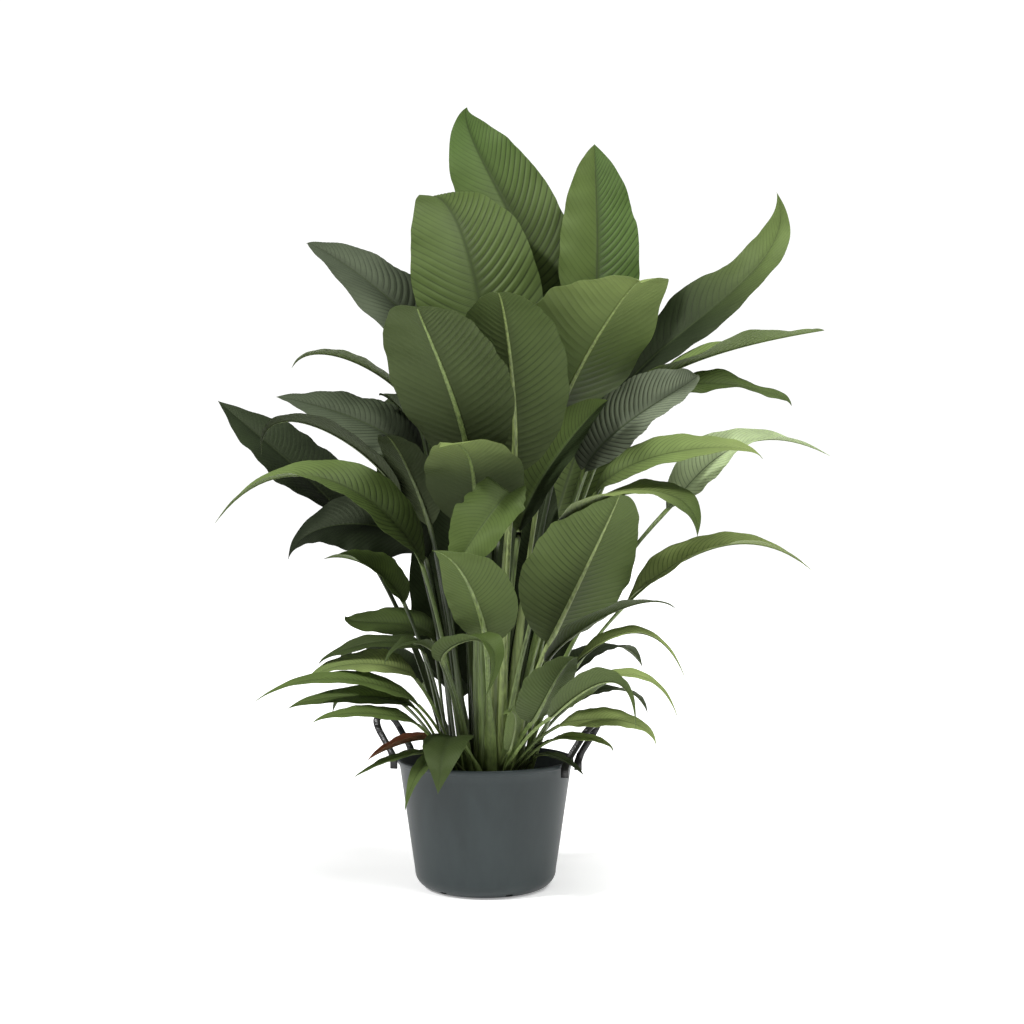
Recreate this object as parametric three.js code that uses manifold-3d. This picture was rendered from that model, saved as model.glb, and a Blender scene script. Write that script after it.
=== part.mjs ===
// Potted peace lily: a clump of long-stalked leaves in a plastic nursery pot.
// Millimetres. +Z is up, +X is right, +Y is back. The origin is the middle of
// the pot's flat base, on the floor.
import * as THREE from 'three';
import { mergeVertices } from 'three/addons/utils/BufferGeometryUtils.js';
import Module from 'manifold-3d';

const wasm = await Module();
wasm.setup();

// ---------------------------------------------------------------- sizes
const POT_HEIGHT = 230;
const RIM_RADIUS = 160;
const BASE_RADIUS = 128;
const FOOT_ROUND = 30;
const WALL = 2.4;
const FLOOR = 3;
const LIP_HEIGHT = 7;
const LIP_OVERHANG = 2.2;

const DRAIN_COUNT = 6;
const DRAIN_WIDTH = 13;
const DRAIN_HEIGHT = 8;
const DRAIN_FIRST_ANGLE = -68;

const HANDLE_SPAN = 88;
const HANDLE_RISE = 66;
const HANDLE_LEAN = 32;
const HANDLE_DROP = 22;
const HANDLE_CORNER = 24;
const STRAP_WIDTH = 14;
const STRAP_THICKNESS = 4;
const HANDLE_ANGLE = { handle_right: -18, handle_left: 162 };

const SOIL_BELOW_RIM = 38;
const CROWN_HEIGHT = 16;
const CROWN_ABOVE_SOIL = 8;
const CLEARANCE = 0.4;

const PLANT_HEIGHT = 1275;
const PLANT_SPREAD = 1146;
const CROWN_RADIUS = 0.0803 * PLANT_SPREAD;
const STALK_RADIUS = 4.6;
const FOOT_SWELL = 1.2;

// ---------------------------------------------------------------- leaves
// foot is where the stalk stands on the crown, as [right, back] from its middle.
// The other points are [right, back, up] from the middle of the crown's top: the
// neck where stalk meets blade, the midrib half way along, and the tip.
// face is the compass angle that the leaf leans to (0 right, 90 back, 180 left,
// -90 front), which is where its back turns. roll turns the blade about its
// midrib at the neck and at the tip, fold lifts both halves into a V, and wave
// is how far the margins ripple. A rim leaf lies over the pot's rim and hangs
// outside it. Angles are in degrees.
const LEAVES = [
  // tall, in the middle and at the back
  { foot: [20, 26], neck: [105, 70, 810], mid: [32, 138, 1080], tip: [-40, 175, 1275],
    width: 185, face: 82, fold: 10 },
  { foot: [38, 26], neck: [180, 50, 735], mid: [210, 90, 995], tip: [207, 125, 1188],
    width: 165, face: 95, fold: 22 },
  { foot: [2, 8], neck: [10, 0, 650], mid: [-30, 30, 945], tip: [-130, 190, 1090],
    width: 235, face: 88, fold: 8 },
  { foot: [-10, -20], neck: [-24, -110, 536], mid: [-72, -235, 720], tip: [-98, -370, 789],
    width: 212, face: -105, fold: 8 },
  { foot: [14, -30], neck: [50, -110, 540], mid: [45, -185, 735], tip: [25, -360, 815],
    width: 195, face: -90, fold: 6 },
  { foot: [42, -6], neck: [112, -45, 590], mid: [200, -120, 785], tip: [258, -300, 842],
    width: 290, face: -60, fold: 14 },
  { foot: [56, 14], neck: [235, 66, 674], mid: [442, 92, 876], tip: [552, 96, 1088],
    width: 150, face: 55, fold: 14, wave: 8 },
  { foot: [62, 0], neck: [238, -10, 648], mid: [440, -14, 770], tip: [618, -12, 808],
    width: 88, face: 8, fold: 24, wave: 7 },
  { foot: [68, -14], neck: [285, -30, 668], mid: [430, -45, 705], tip: [548, -60, 665],
    width: 85, face: 0, roll: [30, 25], wave: 7 },
  { foot: [54, -22], neck: [175, -72, 547], mid: [288, -100, 657], tip: [372, -122, 714],
    width: 178, face: 45, fold: 14 },
  // right side
  { foot: [44, -36], neck: [190, -166, 504], mid: [335, -225, 575], tip: [465, -235, 560],
    width: 105, face: 10, roll: [30, 20] },
  { foot: [66, -28], neck: [320, -95, 478], mid: [418, -125, 577], tip: [594, -160, 570],
    width: 110, face: 25, roll: [25, 10], fold: 16 },
  { foot: [30, -50], neck: [130, -190, 440], mid: [255, -240, 505], tip: [352, -265, 430],
    width: 124, face: -25, roll: [0, 25] },
  { foot: [46, -50], neck: [112, -125, 245], mid: [182, -180, 395], tip: [225, -265, 500],
    width: 215, face: -65, fold: 10 },
  { foot: [80, -16], neck: [250, -95, 315], mid: [390, -105, 408], tip: [572, -125, 370],
    width: 95, face: 5, roll: [25, 5], fold: 20 },
  { foot: [58, -44], neck: [108, -185, 220], mid: [205, -205, 298], tip: [322, -220, 310],
    width: 95, face: -15, roll: [-15, 0] },
  { foot: [68, -40], neck: [155, -195, 216], mid: [235, -212, 268], tip: [338, -225, 192],
    width: 50, face: 0, roll: [15, 10], fold: 16 },
  { foot: [60, -60], neck: [158, -212, 172], mid: [235, -235, 202], tip: [322, -250, 130],
    width: 45, face: -5, roll: [15, 15], fold: 10 },
  { foot: [32, -77], neck: [112, -280, 138], mid: [185, -285, 190], tip: [248, -300, 122],
    width: 75, face: -20, roll: [-25, -30], fold: 16 },
  { foot: [42, -72], neck: [125, -215, 115], mid: [210, -235, 128], tip: [285, -255, 88],
    width: 62, face: -5, roll: [25, 20], fold: 8 },
  { foot: [50, -67], neck: [115, -190, 88], mid: [170, -200, 92], tip: [218, -210, 70],
    width: 34, face: -5, roll: [15, 15], fold: 10 },
  { foot: [36, -61], neck: [82, -190, 118], mid: [116, -232, 185], tip: [156, -260, 232],
    width: 110, face: -55, fold: 10 },
  { foot: [24, -74], neck: [42, -135, 58], mid: [54, -160, 110], tip: [30, -185, 128],
    width: 36, face: -60, fold: 24 },
  { foot: [64, -50], neck: [90, -84, 44], mid: [128, -114, 46], tip: [172, -146, 20],
    width: 42, face: -25, fold: 10, rim: true },
  { foot: [78, -30], neck: [88, -45, 50], mid: [114, -55, 66], tip: [138, -63, 74],
    width: 40, face: -25, fold: 8 },
  // middle
  { foot: [28, -36], neck: [48, -190, 500], mid: [2, -232, 455], tip: [-46, -236, 380],
    width: 112, face: -100, fold: 18, wave: 9 },
  { foot: [-2, -46], neck: [-15, -105, 440], mid: [-20, -175, 548], tip: [-70, -300, 575],
    width: 175, face: -95, fold: 6 },
  { foot: [26, -12], neck: [60, -50, 440], mid: [135, -75, 585], tip: [218, -90, 672],
    width: 120, face: 60, fold: 34 },
  { foot: [-34, -14], neck: [-100, -40, 450], mid: [-140, -90, 560], tip: [-170, -190, 600],
    width: 100, face: -120, fold: 8 },
  // left side
  { foot: [-64, 34], neck: [-285, 135, 480], mid: [-400, 165, 590], tip: [-528, 180, 698],
    width: 195, face: 135, fold: 10 },
  { foot: [-42, 12], neck: [-125, 5, 555], mid: [-250, 15, 652], tip: [-388, 25, 690],
    width: 150, face: 160, roll: [-35, -20] },
  { foot: [-50, -2], neck: [-150, -36, 494], mid: [-292, -58, 624], tip: [-400, -62, 573],
    width: 85, face: 190, fold: 22 },
  { foot: [-40, -32], neck: [-108, -110, 380], mid: [-250, -140, 522], tip: [-462, -155, 455],
    width: 130, face: 170, roll: [-35, -10], fold: 16 },
  { foot: [-58, 18], neck: [-110, 20, 390], mid: [-235, 35, 455], tip: [-368, 45, 390],
    width: 165, face: 165, roll: [-50, -40] },
  { foot: [-66, -14], neck: [-145, -45, 312], mid: [-200, -62, 374], tip: [-285, -78, 392],
    width: 95, face: 150, fold: 20 },
  { foot: [-38, 30], neck: [-120, 85, 640], mid: [-235, 80, 755], tip: [-368, 80, 750],
    width: 95, face: 178, roll: [8, 0], fold: 10 },
  { foot: [-22, 24], neck: [-60, 50, 690], mid: [-200, 90, 895], tip: [-347, 120, 995],
    width: 185, face: 122, fold: 10 },
  { foot: [-18, 2], neck: [-58, 0, 515], mid: [-128, 12, 638], tip: [-198, 30, 693],
    width: 95, face: 150, fold: 22 },
  { foot: [10, -62], neck: [5, -195, 248], mid: [-20, -240, 343], tip: [-80, -315, 408],
    width: 138, face: -100, fold: 8 },
  { foot: [-22, -62], neck: [-68, -205, 222], mid: [-12, -262, 262], tip: [2, -280, 165],
    width: 75, face: -40, fold: 18 },
  { foot: [-70, 4], neck: [-95, 10, 240], mid: [-180, 20, 272], tip: [-260, 30, 285],
    width: 92, face: 170, roll: [-30, -30], fold: 8 },
  { foot: [-60, -30], neck: [-105, -95, 225], mid: [-195, -105, 245], tip: [-290, -115, 208],
    width: 48, face: 180, roll: [-25, -30], wave: 3 },
  { foot: [-50, -38], neck: [-118, -112, 182], mid: [-208, -124, 210], tip: [-310, -132, 180],
    width: 90, face: 185, roll: [-25, -15], fold: 10 },
  { foot: [-48, -52], neck: [-112, -140, 140], mid: [-228, -175, 187], tip: [-390, -190, 150],
    width: 62, face: 185, roll: [-20, -15], fold: 10 },
  { foot: [-62, -46], neck: [-118, -125, 132], mid: [-222, -132, 155], tip: [-338, -150, 135],
    width: 60, face: 185, roll: [-25, -25], fold: 8 },
  { foot: [-58, -58], neck: [-112, -152, 108], mid: [-195, -198, 133], tip: [-288, -205, 118],
    width: 52, face: 190, roll: [-20, -15], fold: 10 },
  { foot: [-78, -28], neck: [-92, -58, 64], mid: [-142, -84, 68], tip: [-205, -102, 40],
    width: 46, face: 200, fold: 30, rim: true, kind: 'dead' },
  { foot: [-72, -42], neck: [-95, -88, 48], mid: [-152, -116, 46], tip: [-226, -134, 15],
    width: 54, face: 200, fold: 8, rim: true },
  { foot: [-8, -80], neck: [-38, -98, 68], mid: [-64, -180, 78], tip: [-76, -212, 0],
    width: 84, face: -105, fold: 6, rim: true },
  { foot: [-30, -76], neck: [-62, -120, 48], mid: [-98, -162, 45], tip: [-134, -178, -36],
    width: 44, face: -130, fold: 10, rim: true },
  { foot: [-32, -50], neck: [-75, -130, 215], mid: [-115, -165, 250], tip: [-168, -195, 215],
    width: 60, face: 215, wave: 5 },
  // leaning away at the back
  { foot: [-42, 50], neck: [-110, 130, 400], mid: [-140, 230, 620], tip: [-190, 340, 720],
    width: 190, face: 112 },
  { foot: [8, 54], neck: [20, 120, 420], mid: [10, 200, 640], tip: [-20, 330, 760],
    width: 205, face: 92 },
  { foot: [46, 46], neck: [120, 110, 430], mid: [190, 190, 640], tip: [260, 310, 740],
    width: 195, face: 68 },
  { foot: [14, 72], neck: [40, 190, 210], mid: [60, 310, 320], tip: [90, 440, 300],
    width: 130, face: 80 },
];
const RIM_RADIUS_OF_TABLE = 160;
const DEFAULT_FOLD = 8;

const COLOURS = {
  pot: new THREE.Color(0x4c5659),
  handle: new THREE.Color(0x17191a),
  soil: new THREE.Color(0x2a211a),
  crown: new THREE.Color(0x6b5a38),
  green: new THREE.Color(0x4f6b35),
  dead: new THREE.Color(0x6e4630),
};

// ---------------------------------------------------------------- helpers
const radians = THREE.MathUtils.degToRad;
const mix = THREE.MathUtils.lerp;

function material(color, roughness) {
  return new THREE.MeshStandardMaterial({ color, roughness, metalness: 0 });
}

function namedMesh(name, geometry, look) {
  const mesh = new THREE.Mesh(geometry, look);
  mesh.name = name;
  return mesh;
}

// A closed body through rings of points that all have the same count. The patches
// of the sides named in splitBack are split along their other diagonal.
function loft(rings, splitBack = []) {
  const count = rings[0].length;
  const positions = rings.flat().flatMap((point) => [point.x, point.y, point.z]);
  const index = [];
  for (let ring = 0; ring < rings.length - 1; ring += 1) {
    for (let side = 0; side < count; side += 1) {
      const a = ring * count + side;
      const b = ring * count + ((side + 1) % count);
      if (splitBack.includes(side)) {
        index.push(a, b, a + count, b, b + count, a + count);
      } else {
        index.push(a, b, b + count, a, b + count, a + count);
      }
    }
  }
  const last = (rings.length - 1) * count;
  for (let side = 1; side < count - 1; side += 1) {
    index.push(0, side + 1, side);
    index.push(last, last + side, last + side + 1);
  }
  const geometry = new THREE.BufferGeometry();
  geometry.setAttribute('position', new THREE.Float32BufferAttribute(positions, 3));
  geometry.setIndex(index);
  geometry.computeVertexNormals();
  return geometry;
}

function turned(profile, segments) {
  const points = profile.map(([radius, height]) => new THREE.Vector2(radius, height));
  const geometry = new THREE.LatheGeometry(points, segments);
  geometry.rotateX(Math.PI / 2);
  return geometry;
}

function asSolid(geometry) {
  const bare = geometry.clone();
  bare.deleteAttribute('normal');
  bare.deleteAttribute('uv');
  const merged = mergeVertices(bare, 1e-4);
  return new wasm.Manifold(new wasm.Mesh({
    numProp: 3,
    vertProperties: new Float32Array(merged.attributes.position.array),
    triVerts: new Uint32Array(merged.index.array),
  }));
}

function asGeometry(solid) {
  const mesh = solid.getMesh();
  const geometry = new THREE.BufferGeometry();
  geometry.setAttribute('position', new THREE.BufferAttribute(mesh.vertProperties, 3));
  geometry.setIndex(new THREE.BufferAttribute(mesh.triVerts, 1));
  geometry.computeVertexNormals();
  return geometry;
}

// ---------------------------------------------------------------- pot
const POT_SEGMENTS = 48;
const ROUND_STEPS = 5;
const LIP_CHAMFER = 1;

// Radius of the pot's outer wall at a height, below the lip and above the foot.
function wallRadius(height) {
  const share = (height - FOOT_ROUND) / (POT_HEIGHT - FOOT_ROUND);
  return mix(BASE_RADIUS, RIM_RADIUS - LIP_OVERHANG, share);
}

// The rounded foot as [radius, height] points, drawn in from the outside by inset.
function footRound(inset) {
  const points = [];
  for (let step = 0; step <= ROUND_STEPS; step += 1) {
    const angle = (step / ROUND_STEPS) * (Math.PI / 2);
    const reach = FOOT_ROUND - inset;
    points.push([
      BASE_RADIUS - FOOT_ROUND + reach * Math.sin(angle),
      FOOT_ROUND - reach * Math.cos(angle),
    ]);
  }
  return points;
}

function makePot() {
  const underLip = POT_HEIGHT - LIP_HEIGHT;
  const outside = [
    [0, 0],
    ...footRound(0),
    [wallRadius(underLip - LIP_OVERHANG), underLip - LIP_OVERHANG],
    [RIM_RADIUS, underLip],
    [RIM_RADIUS, POT_HEIGHT - LIP_CHAMFER],
    [RIM_RADIUS - LIP_CHAMFER, POT_HEIGHT],
  ];
  const inside = [
    [wallRadius(POT_HEIGHT) - WALL, POT_HEIGHT],
    ...footRound(FLOOR).reverse(),
    [0, FLOOR],
  ];
  let pot = asSolid(turned([...outside, ...inside], POT_SEGMENTS));
  const cutLength = FOOT_ROUND;
  for (let hole = 0; hole < DRAIN_COUNT; hole += 1) {
    const angle = DRAIN_FIRST_ANGLE + (hole * 360) / DRAIN_COUNT;
    const cut = wasm.Manifold.cube([cutLength, DRAIN_WIDTH, 2 * DRAIN_HEIGHT], true)
      .translate([BASE_RADIUS - FOOT_ROUND / 3, 0, 0])
      .rotate([0, 0, angle]);
    pot = pot.subtract(cut);
  }
  return namedMesh('pot', asGeometry(pot), material(COLOURS.pot, 0.45));
}

// ---------------------------------------------------------------- handles
const CORNER_STEPS = 5;

// A strap bent into a loop: two legs and a top bar with round corners. It stands
// against the outside of the rim and leans out.
function makeHandle(name) {
  const half = HANDLE_SPAN / 2;
  const outline = [[-half, -HANDLE_DROP]];
  for (let step = 0; step <= CORNER_STEPS; step += 1) {
    const angle = Math.PI - (step / CORNER_STEPS) * (Math.PI / 2);
    outline.push([
      -half + HANDLE_CORNER + HANDLE_CORNER * Math.cos(angle),
      HANDLE_RISE - HANDLE_CORNER + HANDLE_CORNER * Math.sin(angle),
    ]);
  }
  const mirrored = outline.map(([across, up]) => [-across, up]).reverse();
  const path = [...outline, ...mirrored];

  const lean = radians(HANDLE_LEAN);
  const nearestChord = half - STRAP_THICKNESS;
  const wallReach = Math.sqrt(RIM_RADIUS ** 2 - nearestChord ** 2);
  const legReach = wallReach + CLEARANCE + STRAP_WIDTH / 2;
  const turn = radians(HANDLE_ANGLE[name]);
  const place = (across, up, outward) => {
    const leaned = Math.max(up, 0);
    const reach = legReach + leaned * Math.tan(lean) + outward;
    const point = new THREE.Vector3(reach, across, POT_HEIGHT + up);
    return point.applyAxisAngle(new THREE.Vector3(0, 0, 1), turn);
  };
  const rings = path.map(([across, up], at) => {
    const before = path[Math.max(at - 1, 0)];
    const after = path[Math.min(at + 1, path.length - 1)];
    const along = new THREE.Vector2(after[0] - before[0], after[1] - before[1]).normalize();
    const shift = [-along.y * STRAP_THICKNESS / 2, along.x * STRAP_THICKNESS / 2];
    const edge = STRAP_WIDTH / 2;
    return [
      place(across - shift[0], up - shift[1], -edge),
      place(across + shift[0], up + shift[1], -edge),
      place(across + shift[0], up + shift[1], edge),
      place(across - shift[0], up - shift[1], edge),
    ];
  });
  return namedMesh(name, loft(rings), material(COLOURS.handle, 0.6));
}

// ---------------------------------------------------------------- soil and crown
const SOIL_LEVEL = POT_HEIGHT - SOIL_BELOW_RIM;
const CROWN_TOP = SOIL_LEVEL + CROWN_ABOVE_SOIL;
const CROWN_SEGMENTS = 36;

function makeSoil() {
  const seat = CROWN_TOP - CROWN_HEIGHT - CLEARANCE;
  const profile = [
    [0, FLOOR + CLEARANCE],
    ...footRound(FLOOR + CLEARANCE),
    [wallRadius(SOIL_LEVEL) - WALL - CLEARANCE, SOIL_LEVEL],
    [CROWN_RADIUS + CLEARANCE, SOIL_LEVEL],
    [CROWN_RADIUS + CLEARANCE, seat],
    [0, seat],
  ];
  return namedMesh('soil', turned(profile, POT_SEGMENTS), material(COLOURS.soil, 0.95));
}

function makeCrown() {
  const bevel = CROWN_ABOVE_SOIL / 2;
  const profile = [
    [0, CROWN_TOP - CROWN_HEIGHT],
    [CROWN_RADIUS, CROWN_TOP - CROWN_HEIGHT],
    [CROWN_RADIUS, CROWN_TOP - bevel],
    [CROWN_RADIUS - bevel, CROWN_TOP],
    [0, CROWN_TOP],
  ];
  return namedMesh('crown', turned(profile, CROWN_SEGMENTS), material(COLOURS.crown, 0.8));
}

// ---------------------------------------------------------------- leaf shape
const STALK_RINGS = 5;
const BLADE_RINGS = 12;
const TIP_RIB = 0.5;

const tipsAt = (axis) => LEAVES.map((leaf) => leaf.tip[axis]);
const HEIGHT_SCALE = PLANT_HEIGHT / Math.max(...tipsAt(2));
const SPREAD_SCALE = PLANT_SPREAD / (Math.max(...tipsAt(0)) - Math.min(...tipsAt(0)));

// Stalk and midrib as two curves that meet smoothly at the neck. The stalk rises
// steeply before it leans out, and the blade goes on in the stalk's direction.
function spineOf(leaf) {
  const foot = new THREE.Vector3(...leaf.foot, 0);
  const neck = new THREE.Vector3(...leaf.neck);
  const mid = new THREE.Vector3(...leaf.mid);
  const tip = new THREE.Vector3(...leaf.tip);
  const bend = new THREE.Vector3(mix(foot.x, neck.x, 0.3), mix(foot.y, neck.y, 0.3), neck.z * 0.6);
  const stalk = new THREE.QuadraticBezierCurve3(foot, bend, neck);

  const onward = neck.clone().sub(bend).setLength(0.55 * mid.distanceTo(neck));
  const rise = neck.clone().add(onward);
  // A cubic curve is 1/8, 3/8, 3/8 and 1/8 of its four points half way along, so
  // this third point carries the midrib through mid.
  const bow = mid.clone()
    .addScaledVector(neck, -1 / 8)
    .addScaledVector(rise, -3 / 8)
    .addScaledVector(tip, -1 / 8)
    .divideScalar(3 / 8);
  return { stalk, blade: new THREE.CubicBezierCurve3(neck, rise, bow, tip) };
}

// Share of the full half width at a place along the blade, 0 at the neck and 1 at
// the tip. The two powers put the widest place at 40% of the length.
function bladeOutline(along) {
  const outline = (at) => at ** 0.8 * (1 - at) ** 1.2;
  return outline(along) / outline(0.4);
}

// One ring of six points: left margin, two under the midrib, right margin, and two
// on top of the midrib.
function leafRing(leaf, centre, tangent, along, sizes) {
  const face = radians(leaf.face);
  const level = new THREE.Vector3(-Math.sin(face), Math.cos(face), 0);
  const across = level.addScaledVector(tangent, -level.dot(tangent)).normalize();
  const [rollAtNeck, rollAtTip] = leaf.roll ?? [0, 0];
  across.applyAxisAngle(tangent, radians(mix(rollAtNeck, rollAtTip, along) * sizes.rolled));
  const up = new THREE.Vector3().crossVectors(tangent, across);
  const fold = radians(leaf.fold ?? DEFAULT_FOLD);
  const point = (sideways, upward) => centre.clone()
    .addScaledVector(across, sideways)
    .addScaledVector(up, upward);
  const margin = (side) => {
    const reach = Math.max(sizes.half, sizes.rib);
    const lift = sizes.half * Math.sin(fold);
    const share = sizes.half / (leaf.width / 2);
    const ripple = (leaf.wave ?? 0) * share * Math.sin(along * 15 + side);
    return point(side * reach * Math.cos(fold), lift + ripple);
  };
  const ribSide = sizes.rib * 0.5;
  const ribUnder = sizes.rib * 0.86;
  return [
    margin(-1),
    point(-ribSide, -ribUnder),
    point(ribSide, -ribUnder),
    margin(1),
    point(ribSide, sizes.rib * sizes.crest),
    point(-ribSide, sizes.rib * sizes.crest),
  ];
}

// The stalk is a six-sided rod, and over the first part of the blade its top
// sinks into the midrib's groove.
function makeLeaf(leaf, number) {
  const { stalk, blade } = spineOf(leaf);
  const radius = STALK_RADIUS * Math.min(1, 0.45 + leaf.width / 260);
  const reach = leaf.rim ? RIM_RADIUS / RIM_RADIUS_OF_TABLE : SPREAD_SCALE;
  const heightScale = leaf.rim ? 1 : HEIGHT_SCALE;
  const grown = (ring, outward) => ring.map((point) => new THREE.Vector3(
    point.x * outward,
    point.y * outward,
    CROWN_TOP + CLEARANCE + point.z * heightScale,
  ));

  const rings = [];
  for (let step = 0; step < STALK_RINGS; step += 1) {
    const along = step / STALK_RINGS;
    const swell = mix(FOOT_SWELL, 1, Math.min(1, along * 2));
    const sizes = { half: 0, rib: radius * swell, crest: 0.86, rolled: 0 };
    const tangent = step === 0 ? new THREE.Vector3(0, 0, 1) : stalk.getTangent(along);
    const ring = leafRing(leaf, stalk.getPoint(along), tangent, 0, sizes);
    rings.push(grown(ring, mix(SPREAD_SCALE, reach, along)));
  }
  for (let step = 0; step <= BLADE_RINGS; step += 1) {
    const along = step / BLADE_RINGS;
    const sizes = {
      half: bladeOutline(along) * (leaf.width / 2),
      rib: mix(radius, TIP_RIB, along ** 0.6),
      crest: mix(0.86, 0.35, Math.min(1, along * 6)),
      rolled: Math.min(1, along * 4),
    };
    const ring = leafRing(leaf, blade.getPoint(along), blade.getTangent(along), along, sizes);
    rings.push(grown(ring, reach));
  }

  // The upper and the lower side of each half are split the same way, from margin
  // to midrib, so that a twisted blade keeps its thickness.
  const name = `leaf_${String(number + 1).padStart(2, '0')}`;
  const look = material(COLOURS[leaf.kind ?? 'green'], leaf.kind === 'dead' ? 0.85 : 0.4);
  return namedMesh(name, loft(rings, [2, 5]), look);
}

// ---------------------------------------------------------------- the whole plant
const group = new THREE.Group();
group.add(makePot());
group.add(makeHandle('handle_left'));
group.add(makeHandle('handle_right'));
group.add(makeSoil());
group.add(makeCrown());
LEAVES.forEach((leaf, number) => group.add(makeLeaf(leaf, number)));

export default group;
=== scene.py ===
import math
import random

import bmesh
import bpy
from mathutils import Matrix, Vector, noise


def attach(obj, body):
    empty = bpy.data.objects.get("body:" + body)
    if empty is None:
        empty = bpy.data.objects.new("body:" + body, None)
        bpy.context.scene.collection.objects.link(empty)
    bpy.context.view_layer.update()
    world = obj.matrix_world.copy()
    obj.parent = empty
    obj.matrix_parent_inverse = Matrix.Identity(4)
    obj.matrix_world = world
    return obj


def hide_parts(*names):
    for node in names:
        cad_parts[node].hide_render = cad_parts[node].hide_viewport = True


# A tall peace lily in a plastic nursery pot. The script follows the object as it is
# put together: studio, pot, strap handles, potting mix, crown, then the leaves group
# by group. Sizes are in millimetres and are turned to metres by MM.
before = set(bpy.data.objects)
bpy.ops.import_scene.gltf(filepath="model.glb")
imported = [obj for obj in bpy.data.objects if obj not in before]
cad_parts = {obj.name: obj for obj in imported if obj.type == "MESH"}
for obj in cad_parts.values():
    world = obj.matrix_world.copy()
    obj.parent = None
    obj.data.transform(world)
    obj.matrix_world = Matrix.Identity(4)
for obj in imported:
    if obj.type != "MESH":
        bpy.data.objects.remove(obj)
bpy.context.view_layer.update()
MM = 0.001


# ------------------------------------------------------------------ studio
# A white floor that runs out to a white surround, a broad soft lamp overhead, a
# smaller one at the front left that brings out the ribs, and a camera a little under
# half the plant's height.
FLOOR_HALF_WIDTH = 40
SURROUND_LIGHT = 0.2
SURROUND_SEEN = 1.1
LAMPS = [("soft_overhead", 3.5, 0.8, (-0.4, 0.35, -1.0)),
         ("side_lamp", 2.5, 0.12, (0.75, 0.4, -0.8))]
CAMERA_PLACE = (0.048, -2.6, 0.625)
CAMERA_TILT = 0.02


def set_inputs(node, values):
    """Sets a shader node's inputs, by name."""
    for socket, value in values.items():
        node.inputs[socket].default_value = value


def new_look(name, values):
    """A material with its nodes, its links and its main shader, set to the values given."""
    look = bpy.data.materials.new(name)
    look.use_nodes = True
    nodes = look.node_tree.nodes
    shader = nodes["Principled BSDF"]
    set_inputs(shader, values)
    return look, nodes, look.node_tree.links, shader


floor_mesh = bmesh.new()
bmesh.ops.create_grid(floor_mesh, x_segments=2, y_segments=2, size=FLOOR_HALF_WIDTH)
floor_data = bpy.data.meshes.new("floor")
floor_mesh.to_mesh(floor_data)
floor_mesh.free()
floor = bpy.data.objects.new("floor", floor_data)
bpy.context.scene.collection.objects.link(floor)
floor_white = new_look("floor_white", {"Base Color": (0.9, 0.9, 0.9, 1), "Roughness": 0.9,
                                       "Specular IOR Level": 0.1, "Emission Color": (1, 1, 1, 1),
                                       "Emission Strength": 0.3})[0]
floor_data.materials.append(floor_white)

# The surround looks brighter to the camera than the light it gives.
world = bpy.data.worlds.new("surround")
bpy.context.scene.world = world
world.use_nodes = True
surround = world.node_tree.nodes["Background"]
surround.inputs["Color"].default_value = (1, 1, 1, 1)
seen = world.node_tree.nodes.new("ShaderNodeLightPath")
strength = world.node_tree.nodes.new("ShaderNodeMapRange")
set_inputs(strength, {"To Min": SURROUND_LIGHT, "To Max": SURROUND_SEEN})
world.node_tree.links.new(seen.outputs["Is Camera Ray"], strength.inputs["Value"])
world.node_tree.links.new(strength.outputs["Result"], surround.inputs["Strength"])

for lamp_name, energy, spread, shines in LAMPS:
    lamp_data = bpy.data.lights.new(lamp_name, "SUN")
    lamp_data.energy = energy
    lamp_data.angle = spread
    lamp = bpy.data.objects.new(lamp_name, lamp_data)
    lamp.rotation_euler = Vector(shines).to_track_quat("-Z", "Y").to_euler()
    bpy.context.scene.collection.objects.link(lamp)

camera_data = bpy.data.cameras.new("camera")
camera_data.lens = 50
camera_data.sensor_width = 36
camera = bpy.data.objects.new("camera", camera_data)
camera.location = CAMERA_PLACE
camera.rotation_euler = (math.pi / 2 + CAMERA_TILT, 0, 0)
bpy.context.scene.collection.objects.link(camera)
bpy.context.scene.camera = camera
bpy.context.scene.view_settings.view_transform = "Standard"


# ------------------------------------------------------------------ pot
# An injection-moulded nursery pot in slate grey plastic. It is one skin with a small
# outturned lip, a rounded foot, and drain notches through the edge of its base.
POT_HEIGHT = 230
RIM_RADIUS = 160
BASE_RADIUS = 128
FOOT_ROUND = 30
WALL = 2.4
FLOOR = 3
LIP_HEIGHT = 7
LIP_OVERHANG = 2.2
DRAIN_COUNT = 6
DRAIN_FIRST_ANGLE = -68
DRAIN_SIZE = (30, 13, 16)


def finished(name, bm, looks, stands_for=()):
    """Turns a bmesh into a piece of the plant, with its materials and its place in the frame."""
    mesh = bpy.data.meshes.new(name)
    bm.to_mesh(mesh)
    bm.free()
    piece = bpy.data.objects.new(name, mesh)
    bpy.context.scene.collection.objects.link(piece)
    for look in looks:
        mesh.materials.append(look)
    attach(piece, "root")
    if stands_for:
        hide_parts(*stands_for)
    return piece


def turned(profile, steps):
    """Spins [radius, height] points about the pot's axis into a closed skin."""
    bm = bmesh.new()
    verts = [bm.verts.new((radius * MM, 0, height * MM)) for radius, height in profile]
    edges = [bm.edges.new(pair) for pair in zip(verts, verts[1:])]
    bmesh.ops.spin(bm, geom=verts + edges, cent=(0, 0, 0), axis=(0, 0, 1),
                   angle=2 * math.pi, steps=steps, use_merge=True)
    bmesh.ops.remove_doubles(bm, verts=bm.verts, dist=1e-6)
    bmesh.ops.recalc_face_normals(bm, faces=bm.faces)
    for face in bm.faces:
        face.smooth = True
    return bm


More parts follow.
